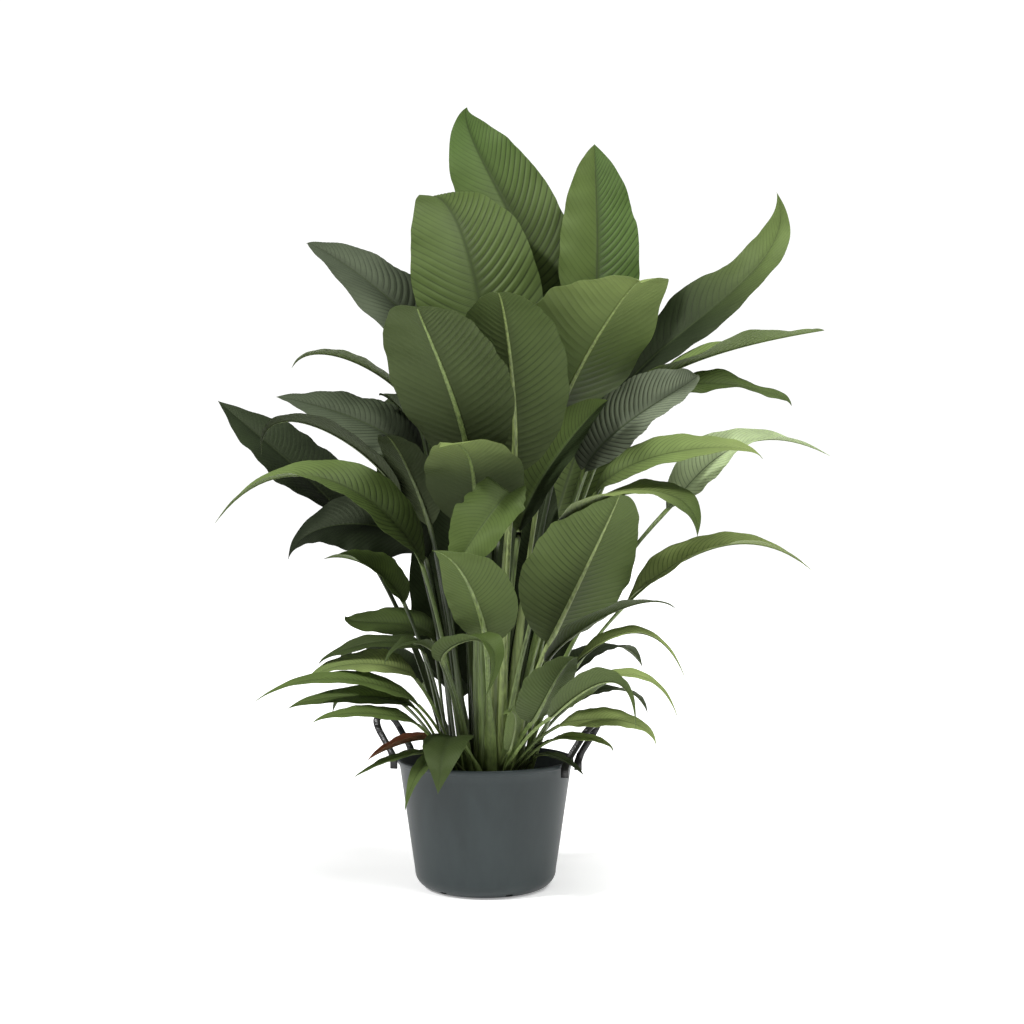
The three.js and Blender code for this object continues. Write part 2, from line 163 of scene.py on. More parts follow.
def foot_round(inset, steps=10):
    """The rounded foot of the wall, drawn in from the outside by inset."""
    reach = FOOT_ROUND - inset
    turns = [step / steps * math.pi / 2 for step in range(steps + 1)]
    return [(BASE_RADIUS - FOOT_ROUND + reach * math.sin(a), FOOT_ROUND - reach * math.cos(a))
            for a in turns]


def wall_radius(height):
    """The outer radius of the tapered wall at a height."""
    share = (height - FOOT_ROUND) / (POT_HEIGHT - FOOT_ROUND)
    return BASE_RADIUS + share * (RIM_RADIUS - LIP_OVERHANG - BASE_RADIUS)


def add_node(nodes, kind, values):
    """A new shader node with its inputs set."""
    node = nodes.new("ShaderNode" + kind)
    set_inputs(node, values)
    return node


def add_ramp(nodes, first, last, *between):
    """A colour ramp. Each stop is a position and a colour."""
    ramp = nodes.new("ShaderNodeValToRGB")
    elements = ramp.color_ramp.elements
    for element, (position, colour) in zip(elements, (first, last)):
        element.position = position
        element.color = (*colour, 1)
    for position, colour in between:
        elements.new(position).color = (*colour, 1)
    return ramp


def add_bump(nodes, links, height, strength, distance):
    """Roughens the surface by a height, up to a distance in metres."""
    bump = add_node(nodes, "Bump", {"Strength": strength, "Distance": distance})
    links.new(height, bump.inputs["Height"])
    links.new(bump.outputs["Normal"], nodes["Principled BSDF"].inputs["Normal"])


under_lip = POT_HEIGHT - LIP_HEIGHT
pot_profile = [(0, 0), (60, 0), *foot_round(0)]
pot_profile += [(wall_radius(height), height) for height in (60, 110, 160, 205, under_lip - 3.4)]
pot_profile += [(RIM_RADIUS - 1.2, under_lip - 0.6), (RIM_RADIUS - 0.3, under_lip),
                (RIM_RADIUS, under_lip + 0.8), (RIM_RADIUS, POT_HEIGHT - 1.4),
                (RIM_RADIUS - 0.4, POT_HEIGHT - 0.5), (RIM_RADIUS - 1.3, POT_HEIGHT),
                (wall_radius(POT_HEIGHT) - WALL + 0.6, POT_HEIGHT),
                (wall_radius(POT_HEIGHT) - WALL, POT_HEIGHT - 0.8)]
pot_profile += foot_round(FLOOR)[::-1] + [(60, FLOOR), (0, FLOOR)]
pot_bm = turned(pot_profile, steps=144)

pot_plastic, nodes, links, shader = new_look("pot_plastic", {"Specular IOR Level": 0.35})
place = nodes.new("ShaderNodeTexCoord")
# Cloudy patches of handling and dried splashes, stretched down the wall.
stretch = add_node(nodes, "Mapping", {"Scale": (14, 14, 5)})
clouds = add_node(nodes, "TexNoise", {"Scale": 1.6, "Detail": 6, "Roughness": 0.6})
tone = add_ramp(nodes, (0.3, (0.016, 0.024, 0.025)), (0.75, (0.025, 0.035, 0.036)))
links.new(place.outputs["Object"], stretch.inputs["Vector"])
links.new(stretch.outputs["Vector"], clouds.inputs["Vector"])
links.new(clouds.outputs["Fac"], tone.inputs["Fac"])
links.new(tone.outputs["Color"], shader.inputs["Base Color"])
gloss = add_node(nodes, "MapRange", {"To Min": 0.36, "To Max": 0.52})
links.new(clouds.outputs["Fac"], gloss.inputs["Value"])
links.new(gloss.outputs["Result"], shader.inputs["Roughness"])
# The fine grain of the mould, with a few rubbed scuffs across it.
grain = add_node(nodes, "TexNoise", {"Scale": 900, "Detail": 2})
scuffs = add_node(nodes, "TexVoronoi", {"Scale": 26})
height = nodes.new("ShaderNodeMath")
height.operation = "MULTIPLY_ADD"
height.inputs[1].default_value = 0.35
links.new(place.outputs["Object"], grain.inputs["Vector"])
links.new(stretch.outputs["Vector"], scuffs.inputs["Vector"])
links.new(scuffs.outputs["Distance"], height.inputs[0])
links.new(grain.outputs["Fac"], height.inputs[2])
add_bump(nodes, links, height.outputs["Value"], 0.06, 0.001)

pot = finished("nursery_pot", pot_bm, [pot_plastic], ["pot"])

# The drain notches are cut where the wall meets the base.
notches = bmesh.new()
for hole in range(DRAIN_COUNT):
    turn = Matrix.Rotation(math.radians(DRAIN_FIRST_ANGLE + hole * 360 / DRAIN_COUNT), 4, "Z")
    reach = Matrix.Translation(((BASE_RADIUS - FOOT_ROUND / 3) * MM, 0, 0))
    size = Matrix.Diagonal((*(side * MM for side in DRAIN_SIZE), 1))
    bmesh.ops.create_cube(notches, size=1, matrix=turn @ reach @ size)
notch_data = bpy.data.meshes.new("drain_notches")
notches.to_mesh(notch_data)
notches.free()
notch_tool = bpy.data.objects.new("drain_notches", notch_data)
bpy.context.scene.collection.objects.link(notch_tool)
cut = pot.modifiers.new("drain_notches", "BOOLEAN")
cut.object = notch_tool
cut.solver = "EXACT"
notched = bpy.data.meshes.new_from_object(pot.evaluated_get(bpy.context.evaluated_depsgraph_get()))
pot.modifiers.clear()
pot.data = notched
bpy.data.objects.remove(notch_tool)


# ------------------------------------------------------------------ strap handles
# Two loops of stiff black plastic strap, held against the outside of the rim. Each is
# one strip bent up, over and down again, and it leans out from the pot.
HANDLE_SPAN = 88
HANDLE_RISE = 66
HANDLE_LEAN = 32
HANDLE_DROP = 22
HANDLE_CORNER = 24
STRAP_WIDTH = 14
STRAP_THICKNESS = 4
STRAP_BEVEL = 0.8
CORNER_STEPS = 9
CLEARANCE = 0.4
HANDLE_ANGLE = {"handle_right": -18, "handle_left": 162}


def swept(bm, rings):
    """Carries one flat section through rings of points and closes both ends."""
    start = bmesh.ops.create_circle(bm, cap_ends=True, segments=len(rings[0]), radius=1)
    section = sorted(start["verts"], key=lambda vert: vert.index)
    for vert, point in zip(section, rings[0]):
        vert.co = point
    face = section[0].link_faces[0]
    for ring in rings[1:]:
        grown = bmesh.ops.extrude_face_region(bm, geom=[face])["geom"]
        face = next(part for part in grown if isinstance(part, bmesh.types.BMFace))
        by_old = {}
        for vert in face.verts:
            for edge in vert.link_edges:
                other = edge.other_vert(vert)
                if other in section:
                    by_old[other] = vert
        section = [by_old[old] for old in section]
        for vert, point in zip(section, ring):
            vert.co = point
    return bm


def strap_rings(angle):
    """Rings of the strap's section along its path: up one leg, over, and down the other."""
    half = HANDLE_SPAN / 2
    turns = [step / CORNER_STEPS * math.pi / 2 for step in range(CORNER_STEPS + 1)]
    corner = [(-half + HANDLE_CORNER - HANDLE_CORNER * math.cos(a),
               HANDLE_RISE - HANDLE_CORNER + HANDLE_CORNER * math.sin(a)) for a in turns]
    left = [(-half, -HANDLE_DROP), (-half, -6), (-half, 8), *corner]
    path = left + [(-x, up) for x, up in reversed(left)]
    wall_reach = math.sqrt(RIM_RADIUS ** 2 - (half - STRAP_THICKNESS) ** 2)
    leg_reach = wall_reach + CLEARANCE + STRAP_WIDTH / 2
    turn = Matrix.Rotation(math.radians(angle), 3, "Z")
    edge = STRAP_WIDTH / 2
    thick = STRAP_THICKNESS / 2
    flat = edge - STRAP_BEVEL
    section = [(-edge, -thick * 0.5), (-flat, -thick), (flat, -thick), (edge, -thick * 0.5),
               (edge, thick * 0.5), (flat, thick), (-flat, thick), (-edge, thick * 0.5)]
    rings = []
    for at, (across, up) in enumerate(path):
        before = path[max(at - 1, 0)]
        after = path[min(at + 1, len(path) - 1)]
        along = Vector((after[0] - before[0], after[1] - before[1])).normalized()
        lean = max(up, 0) * math.tan(math.radians(HANDLE_LEAN))
        rings.append([turn @ Vector((leg_reach + lean + out, across - along.y * side,
                                     POT_HEIGHT + up + along.x * side)) * MM
                      for out, side in section])
    return rings


strap_plastic, nodes, links, shader = new_look("strap_plastic", {"Roughness": 0.34})
place = nodes.new("ShaderNodeTexCoord")
dust = add_node(nodes, "TexNoise", {"Scale": 60, "Detail": 5})
tone = add_ramp(nodes, (0, (0.004, 0.004, 0.004)), (1, (0.014, 0.014, 0.013)))
weave = add_node(nodes, "TexVoronoi", {"Scale": 420})
links.new(place.outputs["Object"], dust.inputs["Vector"])
links.new(dust.outputs["Fac"], tone.inputs["Fac"])
links.new(tone.outputs["Color"], shader.inputs["Base Color"])
links.new(place.outputs["Object"], weave.inputs["Vector"])
add_bump(nodes, links, weave.outputs["Distance"], 0.5, 0.0006)

for node, angle in HANDLE_ANGLE.items():
    strap_bm = swept(bmesh.new(), strap_rings(angle))
    bmesh.ops.recalc_face_normals(strap_bm, faces=strap_bm.faces)
    for face in strap_bm.faces:
        face.smooth = len(face.verts) == 4
    finished(f"strap_{node}", strap_bm, [strap_plastic], [node])


# ------------------------------------------------------------------ potting mix
# Damp potting mix of peat, bark and coir fills the pot to a little under the rim. Its
# top is uneven, with chips of bark lying on it.
SOIL_BELOW_RIM = 38
SOIL_TOP = POT_HEIGHT - SOIL_BELOW_RIM
SOIL_FLOOR_GAP = 0.5
SOIL_WALL_GAP = 0.6
SOIL_RINGS = 40
BARK_CHIPS = 420
soil_reach = wall_radius(SOIL_TOP) - WALL - SOIL_WALL_GAP
soil_floor = FLOOR + SOIL_FLOOR_GAP
soil_profile = [(0, soil_floor), *foot_round(soil_floor), (soil_reach, SOIL_TOP - 3)]
soil_profile += [(soil_reach * ring / SOIL_RINGS, SOIL_TOP) for ring in range(SOIL_RINGS - 1, -1, -1)]
soil_bm = turned(soil_profile, steps=160)
for vert in soil_bm.verts:
    reach = math.hypot(vert.co.x, vert.co.y) / MM
    if vert.co.z / MM > SOIL_TOP - 1:
        rough = noise.noise(vert.co * 60) * 3 + noise.noise(vert.co * 180) * 1.6
        vert.co.z += rough * MM * min(1, (soil_reach - reach) / 6)
random.seed(3)
for chip in range(BARK_CHIPS):
    angle = random.uniform(0, 2 * math.pi)
    reach = math.sqrt(random.uniform(0.0, 1)) * (soil_reach - 7)
    size = random.uniform(1.2, 4.2)
    turn = Matrix.Rotation(random.uniform(0, 6), 4, Vector((random.random(), random.random(), 1)))
    flat = Matrix.Diagonal((size * MM, size * random.uniform(0.4, 1) * MM, size * 0.4 * MM, 1))
    lay = Matrix.Translation(Vector((reach * math.cos(angle), reach * math.sin(angle), SOIL_TOP + 1)) * MM)
    bmesh.ops.create_icosphere(soil_bm, subdivisions=1, radius=1, matrix=lay @ turn @ flat)

potting_mix, nodes, links, shader = new_look("potting_mix", {"Roughness": 0.9, "Specular IOR Level": 0.25})
place = nodes.new("ShaderNodeTexCoord")
crumbs = add_node(nodes, "TexVoronoi", {"Scale": 260})
tone = add_ramp(nodes, (0, (0.006, 0.004, 0.003)), (1, (0.06, 0.036, 0.02)), (0.6, (0.02, 0.013, 0.008)))
links.new(place.outputs["Object"], crumbs.inputs["Vector"])
links.new(crumbs.outputs["Color"], tone.inputs["Fac"])
links.new(tone.outputs["Color"], shader.inputs["Base Color"])
add_bump(nodes, links, crumbs.outputs["Distance"], 0.9, 0.002)
finished("potting_mix_fill", soil_bm, [potting_mix], ["soil"])


# ------------------------------------------------------------------ crown
# The rhizome that every stalk grows from: a low woody disc at the top of the mix, with
# an uneven face roughened by the scars of old leaves.
CROWN_RADIUS = 92
CROWN_TOP = SOIL_TOP + 8
CROWN_RINGS = 24
crown_profile = [(0, CROWN_TOP - 16), (CROWN_RADIUS, CROWN_TOP - 16), (CROWN_RADIUS, CROWN_TOP - 6),
                 (CROWN_RADIUS - 3, CROWN_TOP - 2)]
crown_profile += [(CROWN_RADIUS * ring / CROWN_RINGS, CROWN_TOP - 0.6)
                  for ring in range(CROWN_RINGS - 2, -1, -1)]
crown_bm = turned(crown_profile, steps=120)
for vert in crown_bm.verts:
    if vert.co.z / MM > CROWN_TOP - 4:
        vert.co.z += (noise.noise(vert.co * 45) * 3 - 2) * MM

rhizome, nodes, links, shader = new_look("rhizome", {"Roughness": 0.85})
place = nodes.new("ShaderNodeTexCoord")
scars = add_node(nodes, "TexNoise", {"Scale": 120, "Detail": 8})
tone = add_ramp(nodes, (0.35, (0.012, 0.009, 0.005)), (0.7, (0.09, 0.07, 0.03)))
links.new(place.outputs["Object"], scars.inputs["Vector"])
links.new(scars.outputs["Fac"], tone.inputs["Fac"])
links.new(tone.outputs["Color"], shader.inputs["Base Color"])
add_bump(nodes, links, scars.outputs["Fac"], 0.8, 0.002)
finished("rhizome_crown", crown_bm, [rhizome], ["crown"])


# ------------------------------------------------------------------ tall leaves in the middle
# Each leaf is one stalk that opens low down into a sheath, and runs on under the blade
# as its midrib. The blade is a thin sheet, pleated along side veins that sweep forward
# from the midrib.
#
# Pleats, relief and creases are shares of a leaf's width. The arch, the ripple, the waver
# and the ruffle are shares of the half width at that place.
STALK_RADIUS = 4.6
STALK_SIDES = 12
STALK_STEPS = 16
MIDRIB_STEPS = 30
MIDRIB_END = 0.985
MIDRIB_END_RADIUS = 0.5
SIDE_VEINS = 38
VEIN_SWEEP = 0.6
ROWS_PER_VEIN = 4
STATIONS = 240
BLADE_THICKNESS = 0.9
BLADE_ARCH = 0.07
PLEAT_DEPTH = 0.010
FULL_RELIEF = 0.008
FULL_CREASE = 0.014
MARGIN_RIPPLE = 0.01
WAVER_DEPTH = 0.045
RUFFLE_DEPTH = 0.02
GROOVE_DEPTH = 0.28
FULL_TURN = 6.28
LEAF_START = CROWN_TOP + 0.4
# Leaf and stalk tones. They hold the leaves' own green with painted light and shade in it: the darkest steps
# are painted shade, the palest painted light, and grey and slate a painted sheen. Brown is a dead leaf's own
# colour.
TONES = {
    "black": (0.008, 0.013, 0.005),
    "deep": (0.018, 0.028, 0.010),
    "dark": (0.030, 0.045, 0.015),
    "dusk": (0.042, 0.062, 0.018),
    "mid": (0.068, 0.102, 0.026),
    "fresh": (0.095, 0.140, 0.036),
    "light": (0.140, 0.195, 0.060),
    "pale": (0.235, 0.300, 0.100),
    "lit_sheen": (0.420, 0.510, 0.290),
    "vivid": (0.066, 0.116, 0.026),
    "slate": (0.058, 0.073, 0.044),
    "grey": (0.175, 0.205, 0.140),
    "brown": (0.260, 0.085, 0.045),
}


def bezier(points, share):
    """The place and the direction at a share of the way along a curve of control points."""
    while len(points) > 2:
        points = [a.lerp(b, share) for a, b in zip(points, points[1:])]
    return points[0].lerp(points[1], share), (points[1] - points[0]).normalized()


def spine_of(leaf):
    """Control points of the stalk's curve, then of the midrib's, which passes through mid."""
    foot = Vector((*leaf["foot"], 0))
    neck, mid, tip = (Vector(leaf[name]) for name in ("neck", "mid", "tip"))
    bend = Vector((foot.x + 0.3 * (neck.x - foot.x), foot.y + 0.3 * (neck.y - foot.y), 0.6 * neck.z))
    rise = neck + (neck - bend).normalized() * 0.55 * (mid - neck).length
    bow = (mid - neck / 8 - rise * 3 / 8 - tip / 8) / (3 / 8)
    lift = Vector((0, 0, LEAF_START))
    return [point + lift for point in (foot, bend, neck)], [point + lift for point in (neck, rise, bow, tip)]


def outline(along):
    """The width of a blade at a share of its length, as a share of its widest."""
    return max(along, 0) ** 0.8 * max(1 - along, 0) ** 1.2 / (0.4 ** 0.8 * 0.6 ** 1.2)


def leaf_frame(leaf, tangent, along, rolled):
    """Unit vectors across the leaf and out of its upper face."""
    face = math.radians(leaf["face"])
    level = Vector((-math.sin(face), math.cos(face), 0))
    across = (level - tangent * level.dot(tangent)).normalized()
    start, end = leaf.get("roll", (0, 0))
    turn = Matrix.Rotation(math.radians((start + (end - start) * along) * rolled), 3, tangent)
    across = turn @ across
    return across, tangent.cross(across)


def smooth(low, high, value):
    """Rises from 0 to 1 between low and high, with soft ends."""
    share = min(max((value - low) / (high - low), 0), 1)
    return share * share * (3 - 2 * share)


def stalk_rings(leaf, stalk, blade, radius):
    """Rings of the stalk from foot to neck, then of the midrib from neck to tip."""
    rings = []
    shares = []
    turns = [2 * math.pi * side / STALK_SIDES for side in range(STALK_SIDES)]
    for step in range(STALK_STEPS + 1):
        along = step / STALK_STEPS
        centre, tangent = bezier(stalk, along)
        if step == 0:
            tangent = Vector((0, 0, 1))
        across, up = leaf_frame(leaf, tangent, 0, 0)
        wing = leaf.get("sheath", 1.1) * (1 - smooth(0.2, 0.62, along))
        groove = 0.35 + 0.5 * (1 - smooth(0.3, 0.7, along))
        knee = 1 + 0.16 * smooth(0.88, 0.96, along)
        ring = []
        for angle in turns:
            sideways = math.cos(angle) * (1 + wing)
            upward = math.sin(angle) * (1 if math.sin(angle) < 0 else 1 - groove)
            upward += 0.7 * wing * math.cos(angle) ** 2
            ring.append((centre + (across * sideways + up * upward) * radius * knee) * MM)
        rings.append(ring)
        shares.append(along)
    for step in range(1, MIDRIB_STEPS + 1):
        along = step / MIDRIB_STEPS * MIDRIB_END
        centre, tangent = bezier(blade, along)
        across, up = leaf_frame(leaf, tangent, along, min(1, along * 4))
        rib = radius + (MIDRIB_END_RADIUS - radius) * along ** 0.8
        ring = []
        for angle in turns:
            below = math.sin(angle) < 0.1
            sideways = math.cos(angle) * (1.35 if below else 0.5)
            upward = math.sin(angle) * (0.65 if below else 0.1) - 0.42
            ring.append((centre + (across * sideways + up * upward) * rib) * MM)
        rings.append(ring)
        shares.append(1 + along)
    return rings, shares


def add_slab(bm, columns):
    """A flat grid with an under and an upper layer, and the attributes that the looks read."""
    bmesh.ops.create_grid(bm, x_segments=columns, y_segments=ROWS_PER_VEIN * SIDE_VEINS, size=1)
    top = bmesh.ops.extrude_face_region(bm, geom=bm.faces[:])["geom"]
    for part in top:
        if isinstance(part, bmesh.types.BMVert):
            part.co.z = 1
    bmesh.ops.recalc_face_normals(bm, faces=bm.faces)
    uv = bm.loops.layers.uv.new("leaf")
    tint = bm.verts.layers.float_color.new("tint")
    under = bm.verts.layers.float.new("under")
    relief = bm.verts.layers.float.new("relief")
    for face in bm.faces:
        face.smooth = True
        wall = abs(face.normal.z) < 0.5
        for loop in face.loops:
            loop[uv].uv = (loop.vert.co.x / 2 + 0.5, loop.vert.co.y / 2 + 0.5)
            if wall:
                loop.edge.smooth = False
    return uv, tint, under, relief


def grow_leaf(name, leaf, stands_for=()):
    """Makes one whole leaf: its blade first, then the stalk that carries it."""
    chance = random.Random(name)
    stalk, blade = spine_of(leaf)
    width = leaf["width"]
    radius = STALK_RADIUS * min(1, 0.45 + width / 260)
    fold = math.radians(leaf.get("fold", 8))
    wave = leaf.get("wave", 0)
    pleats = [depth * width * PLEAT_DEPTH for depth in leaf.get("pleat", (0.7, 0.7))]
    patches = [Vector((chance.uniform(0, 9), chance.uniform(0, 9), half)) for half in range(2)]
    wavers = [(chance.uniform(2.2, 3.4), chance.uniform(0, 6)) for half in range(2)]
    ruffles = [(chance.uniform(6, 9), chance.uniform(0, 6)) for half in range(2)]
    halves = leaf.get("halves", (1, 1))
    ragged = leaf.get("ragged", 0.012)
    base_tone = Vector(TONES[leaf.get("tone", "mid")])
    tip_tone = Vector(TONES[leaf["tip_tone"]]) if "tip_tone" in leaf else base_tone
    # Stalks left without a tone are dusk, painted shade for stalks inside the clump; dark stalks are painted
    # shade too.
    stalk_tone = Vector(TONES[leaf.get("stalk_tone", "dusk")])
    rib_tone = stalk_tone.lerp(Vector(TONES["pale"]), 0.3)

    stations = []
    for number in range(STATIONS + 1):
        along = number / STATIONS
        centre, tangent = bezier(blade, along)
        stations.append((centre, *leaf_frame(leaf, tangent, along, min(1, along * 4))))

    bm = bmesh.new()
    uv, tint, under, relief = add_slab(bm, columns=24 if width > 120 else 16)
    for vert in bm.verts:
        u, v, layer = vert.co.x, vert.co.y / 2 + 0.5, vert.co.z
        side = 1 if u > 0 else -1
        half = int(u > 0)
        edge = abs(u)
        # A side vein leaves the midrib at v and meets the margin at reach_to.
        reach_to = v + VEIN_SWEEP * v * (1 - v)
        along = v + (reach_to - v) * (0.35 * edge + 0.65 * edge * edge)
        number = min(int(along * STATIONS), STATIONS - 1)
        centre, across, up = (a.lerp(b, along * STATIONS - number)
                              for a, b in zip(stations[number], stations[number + 1]))

        # Half the width here, with a rippled and slightly torn margin.
        ruffle, ruffle_start = ruffles[half]
        tear = noise.noise(patches[half] + Vector((reach_to * 14, 5, 0)))
        spread = outline(reach_to) * width / 2 * halves[half]
        spread *= (1 - ragged * max(0, tear) * 2
                   + MARGIN_RIPPLE * math.sin(ruffle * 5 * reach_to + ruffle_start))
        share = spread / (width / 2)
        reach = max(spread, radius * (1 - along) ** 0.5 * 0.9, 0.3)

        # How far the blade stands off its midrib: fold, wave, arch, waver and ruffles.
        waver, waver_start = wavers[half]
        lift = spread * math.sin(fold) * edge ** 1.25
        lift += wave * share * math.sin(along * 15 + side) * edge ** 2
        lift += spread * BLADE_ARCH * math.sin(math.pi * edge)
        lift += spread * WAVER_DEPTH * math.sin(waver * FULL_TURN * along + waver_start) * edge ** 2
        lift += spread * RUFFLE_DEPTH * math.sin(ruffle * FULL_TURN * along + ruffle_start) * edge ** 3

        # Pleats between the side veins, deeper in some patches, and the midrib's groove.
        ridge = abs(math.sin(math.pi * v * SIDE_VEINS)) ** 0.7 - 0.5
        patch = 0.75 + 0.9 * noise.noise(patches[half] + Vector((3 * v, 1.5 * edge, 0)))
        depth = pleats[half] * patch * share ** 0.7 * smooth(0, 0.2, edge) * (1 - 0.6 * edge ** 3)
        lift += depth * ridge
        groove = math.exp(-((edge * reach / (radius * 0.8)) ** 2)) * (1 - along)
        lift -= GROOVE_DEPTH * radius * groove
        lift += (layer - 0.5) * BLADE_THICKNESS * (1 - 0.5 * edge)
        vert.co = (centre + across * u * reach * math.cos(fold) + up * lift) * MM

        # The colour, with painted shade near the neck, where the clump shades it, and in the creases beside
        # the midrib.
        colour = base_tone.lerp(tip_tone, smooth(0.35, 0.9, along))
        # Painted shade: a darker tone on the clockwise half, the half turned from the light.
        if "clockwise_shade_tone" in leaf and u < 0:
            colour = Vector(TONES[leaf["clockwise_shade_tone"]])
        shadow = 0.45 + 0.55 * smooth(0.0, 0.5, along)
        crease = min(1, pleats[half] / (width * FULL_CREASE))
        shadow *= 1 - 0.4 * crease * (1 - smooth(0, 0.35, edge))
        vert[tint] = (*(colour * shadow), 1)
        vert[under] = 1 - layer
        vert[relief] = min(1, depth / (width * FULL_RELIEF))

    blade_verts = len(bm.verts)
    blade_faces = len(bm.faces)
    rings, shares = stalk_rings(leaf, stalk, blade, radius)
    swept(bm, rings)
    bm.verts.ensure_lookup_table()
    bm.faces.ensure_lookup_table()
    share_of = {}
    for number, vert in enumerate(bm.verts[blade_verts:]):
        share_of[vert] = shares[number // STALK_SIDES]
        vert[tint] = (*(stalk_tone if share_of[vert] < 1 else rib_tone), 1)
        vert[under] = 1
        vert[relief] = 0
    for face in bm.faces[blade_faces:]:
        face.smooth = True
        face.material_index = 1
        for loop in face.loops:
            loop[uv].uv = (0.5, share_of[loop.vert] / 2)
    bmesh.ops.recalc_face_normals(bm, faces=bm.faces[blade_faces:])
    return finished(name, bm, [leaf_green, stalk_green], stands_for)


def add_attribute(nodes, name):
    """Reads one of the attributes that each leaf carries."""
    node = nodes.new("ShaderNodeAttribute")
    node.attribute_name = name
    return node


def add_mix(nodes, blend_type, values):
    """Mixes two colours, A and B."""
    node = nodes.new("ShaderNodeMix")
    node.data_type = "RGBA"
    node.blend_type = blend_type
    set_inputs(node, values)
    return node


def leaf_material(name, sheen, translucence):
    """Living leaf: side veins, midrib and mottling, with painted shade in the furrows, over the tint that
    each leaf carries with its painted light and shade.
    """
    look, nodes, links, shader = new_look(name, {"Specular IOR Level": 0.24,
                                                 "Specular Tint": (0.85, 1.0, 0.62, 1)})
    tint = add_attribute(nodes, "tint")
    under = add_attribute(nodes, "under")
    relief = add_attribute(nodes, "relief")
    where = nodes.new("ShaderNodeUVMap")
    where.uv_map = "leaf"
    split = nodes.new("ShaderNodeSeparateXYZ")
    links.new(where.outputs["UV"], split.inputs["Vector"])
    place = nodes.new("ShaderNodeTexCoord")

    def math_node(operation, first, second=None):
        node = nodes.new("ShaderNodeMath")
        node.operation = operation
        for socket, value in zip(node.inputs, (first, second)):
            if isinstance(value, (int, float)):
                socket.default_value = value
            elif value is not None:
                links.new(value, socket)
        return node.outputs["Value"]

    # Side veins: 0 in the furrow over each vein and 1 on the rise between two.
    vein_turn = math_node("MULTIPLY", split.outputs["Y"], math.pi * SIDE_VEINS)
    rise = math_node("ABSOLUTE", math_node("SINE", vein_turn))
    fine_turn = math_node("MULTIPLY", split.outputs["Y"], math.pi * SIDE_VEINS * 5)
    fine = math_node("ABSOLUTE", math_node("SINE", fine_turn))
    from_midrib = math_node("ABSOLUTE", math_node("SUBTRACT", split.outputs["X"], 0.5))

    # Mottling over the whole leaf, and painted shade in the furrows, darker where the pleats are deep.
    mottle = add_node(nodes, "TexNoise", {"Scale": 16, "Detail": 6})
    links.new(place.outputs["Object"], mottle.inputs["Vector"])
    shade = add_node(nodes, "MapRange", {"To Min": 0.72, "To Max": 1.28})
    links.new(mottle.outputs["Fac"], shade.inputs["Value"])
    vein_shade = add_node(nodes, "MapRange", {"From Max": 0.5, "To Max": 1.0})
    links.new(rise, vein_shade.inputs["Value"])
    darkest = math_node("SUBTRACT", 0.88, math_node("MULTIPLY", relief.outputs["Fac"], 0.68))
    links.new(darkest, vein_shade.inputs["To Min"])
    both = math_node("MULTIPLY", shade.outputs["Result"], vein_shade.outputs["Result"])
    grey = nodes.new("ShaderNodeCombineColor")
    for channel in ("Red", "Green", "Blue"):
        links.new(both, grey.inputs[channel])
    toned = add_mix(nodes, "MULTIPLY", {"Factor": 1})
    links.new(tint.outputs["Color"], toned.inputs["A"])
    links.new(grey.outputs["Color"], toned.inputs["B"])

    # The underside is a little paler and greyer.
    paler = add_mix(nodes, "MIX", {"B": (0.12, 0.15, 0.07, 1)})
    links.new(math_node("MULTIPLY", under.outputs["Fac"], 0.28), paler.inputs["Factor"])
    links.new(toned.outputs["Result"], paler.inputs["A"])

    # The midrib is a pale rib below, and above it a dark line of painted shade in its groove.
    line = add_node(nodes, "MapRange", {"From Min": 0.006, "From Max": 0.02, "To Min": 0.7,
                                        "To Max": 0.0})
    links.new(from_midrib, line.inputs["Value"])
    rib_tone = add_mix(nodes, "MIX", {"A": (0.035, 0.050, 0.018, 1), "B": (0.2, 0.25, 0.08, 1)})
    ribbed = add_mix(nodes, "MIX", {})
    links.new(under.outputs["Fac"], rib_tone.inputs["Factor"])
    links.new(rib_tone.outputs["Result"], ribbed.inputs["B"])
    links.new(line.outputs["Result"], ribbed.inputs["Factor"])
    links.new(paler.outputs["Result"], ribbed.inputs["A"])
    links.new(ribbed.outputs["Result"], shader.inputs["Base Color"])

    rough = add_node(nodes, "MapRange", {"To Min": sheen, "To Max": sheen + 0.16})
    links.new(mottle.outputs["Fac"], rough.inputs["Value"])
    links.new(rough.outputs["Result"], shader.inputs["Roughness"])

    # Fine veins between the side veins, over a skin of small cells.
    cells = add_node(nodes, "TexNoise", {"Scale": 500})
    links.new(place.outputs["Object"], cells.inputs["Vector"])
    skin = math_node("ADD", math_node("MULTIPLY", fine, 0.5),
                     math_node("MULTIPLY", cells.outputs["Fac"], 0.3))
    add_bump(nodes, links, math_node("ADD", skin, rise), 0.35, 0.0008)

    # Some light comes through the blade, and is yellower for it.
    through = nodes.new("ShaderNodeBsdfTranslucent")
    warm = add_mix(nodes, "MULTIPLY", {"Factor": 1, "B": (2.2, 2.2, 0.8, 1)})
    links.new(ribbed.outputs["Result"], warm.inputs["A"])
    links.new(warm.outputs["Result"], through.inputs["Color"])
    blend = add_node(nodes, "MixShader", {"Fac": translucence})
    links.new(shader.outputs["BSDF"], blend.inputs[1])
    links.new(through.outputs["BSDF"], blend.inputs[2])
    links.new(blend.outputs["Shader"], nodes["Material Output"].inputs["Surface"])
    return look


